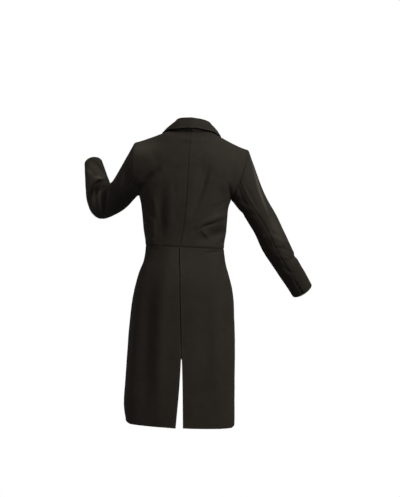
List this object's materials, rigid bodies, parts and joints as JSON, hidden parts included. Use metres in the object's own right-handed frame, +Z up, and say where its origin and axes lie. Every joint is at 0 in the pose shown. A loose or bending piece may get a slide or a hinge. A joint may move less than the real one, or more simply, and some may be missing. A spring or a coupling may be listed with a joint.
{
  "type": "tailcoat",
  "caption": "Black wool tailcoat in its worn, hollow form: turned-down collar, fitted body with a waist seam, vented skirts cut away in front, two-piece sleeves.",
  "frame": {"origin": "middle of the neck, level with the top of the shoulders, where the wearer's shoulders hold the coat", "axes": "+Z up along the wearer, -Y the way the wearer faces, +X towards the wearer's left arm, which is the bent one"},
  "size_m": [0.9232, 0.5297, 1.2028],
  "materials": {
    "wool": "fine black-brown wool cloth, matte with a faint nap",
    "button": "dark horn, satin"
  },
  "bodies": {
    "root": {"back_left": "wool", "back_right": "wool", "front_left": "wool", "front_right": "wool", "lapel_left": "wool", "lapel_right": "wool", "collar": "wool", "sleeve_left_top": "wool", "sleeve_left_under": "wool", "sleeve_right_top": "wool", "sleeve_right_under": "wool", "skirt_left": "wool", "skirt_right": "wool", "button_waist": "button", "button_left_1": "button", "button_left_2": "button", "button_left_3": "button", "button_right_1": "button", "button_right_2": "button", "button_right_3": "button"}
  },
  "joints": []
}
